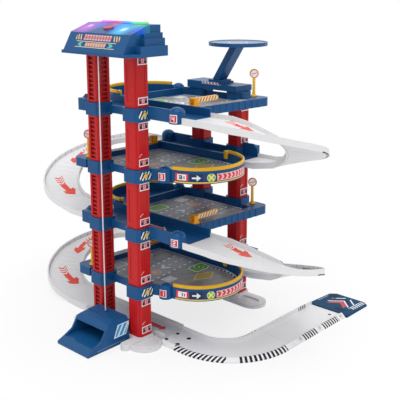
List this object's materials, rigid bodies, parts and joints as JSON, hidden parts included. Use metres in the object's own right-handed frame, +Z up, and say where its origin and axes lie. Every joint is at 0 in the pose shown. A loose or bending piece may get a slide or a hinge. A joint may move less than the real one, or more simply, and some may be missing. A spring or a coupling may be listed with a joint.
{
  "type": "toy parking garage",
  "caption": "Toy parking garage: stacked decks on columns, hairpin tracks down to a ground track and ramp, a corded lift with a motor head, barrier gates and a helipad.",
  "frame": {"origin": "on the ground, under the middle of the bounding box", "axes": "+Z up, +Y along the garage's longest side towards the turns of the odd tracks, +X from the lift tower towards the back columns"},
  "size_m": [0.398, 0.49, 0.4267],
  "materials": {
    "blue": "moulded, satin",
    "red": "moulded, satin",
    "grey": "moulded, satin",
    "yellow": "moulded",
    "orange": "moulded",
    "cord": "twisted",
    "lens": "clear, tinted",
    "metal": "plain"
  },
  "bodies": {
    "garage": {"lift_column_right_1": "red", "lift_column_right_2": "red", "lift_column_right_3": "red", "lift_column_right_4": "red", "lift_column_right_5": "red", "lift_column_left_1": "red", "lift_column_left_2": "red", "lift_column_left_3": "red", "lift_column_left_4": "red", "lift_column_left_5": "red", "back_column_left_1": "red", "back_column_left_2": "red", "back_column_left_3": "red", "back_column_left_4": "red", "back_column_right_1": "red", "back_column_right_2": "red", "back_column_right_3": "red", "back_column_right_4": "red", "deck_1": "blue", "balcony_rail_1": "yellow", "gate_foot_1": "orange", "road_sign_1": "yellow", "deck_2": "blue", "balcony_rail_2": "yellow", "gate_foot_2": "orange", "road_sign_2": "yellow", "deck_3": "blue", "balcony_rail_3": "yellow", "gate_foot_3": "orange", "road_sign_3": "yellow", "deck_4": "blue", "balcony_rail_4": "yellow", "gate_foot_4": "orange", "road_sign_4": "yellow", "track_4_to_3": "grey", "track_3_to_2": "grey", "track_2_to_1": "grey", "track_1_to_ground": "grey", "ground_curve": "grey", "exit_track": "grey", "exit_ramp": "blue", "foot_lift_right": "grey", "foot_lift_left": "grey", "foot_back_right": "grey", "foot_back_left": "grey", "hoist_cord": "cord", "roof_shell": "blue", "roof_base": "blue", "gear_motor": "metal", "battery_door": "blue", "lamp_lens": "lens", "helipad_bridge": "blue", "helipad": "blue"},
    "cab": {"lift_cab": "blue"},
    "drum": {"winding_drum": "grey"},
    "button": {"call_button": "red"},
    "barrier_1": {"gate_arm_1": "orange"},
    "barrier_2": {"gate_arm_2": "orange"},
    "barrier_3": {"gate_arm_3": "orange"},
    "barrier_4": {"gate_arm_4": "orange"}
  },
  "joints": [
    {"name": "lift_slide", "type": "slide", "parent": "garage", "child": "cab", "axis": [0, 0, 1], "range_m": [0, 0.308], "deforming": ["hoist_cord"]},
    {"name": "drum_spin", "type": "hinge", "parent": "garage", "child": "drum", "pos_m": [-0.1335, 0, 0.398], "axis": [0, 1, 0], "range_deg": [0, 2354]},
    {"name": "barrier_lift_1", "type": "hinge", "parent": "garage", "child": "barrier_1", "pos_m": [0.026, 0.075, 0.0845], "axis": [0, 1, 0], "range_deg": [0, 80]},
    {"name": "barrier_lift_2", "type": "hinge", "parent": "garage", "child": "barrier_2", "pos_m": [-0.044, -0.075, 0.1645], "axis": [0, -1, 0], "range_deg": [0, 80]},
    {"name": "barrier_lift_3", "type": "hinge", "parent": "garage", "child": "barrier_3", "pos_m": [0.026, 0.075, 0.2445], "axis": [0, 1, 0], "range_deg": [0, 80]},
    {"name": "barrier_lift_4", "type": "hinge", "parent": "garage", "child": "barrier_4", "pos_m": [-0.044, -0.075, 0.3245], "axis": [0, -1, 0], "range_deg": [0, 80]},
    {"name": "button_press", "type": "slide", "parent": "garage", "child": "button", "axis": [0.3392, 0, -0.9407], "range_m": [0, 0.0012], "stiffness_N_per_m": 200}
  ],
  "couplings": [
    {"joint": "drum_spin", "follows": "lift_slide", "rad_per_m": 133.33}
  ]
}
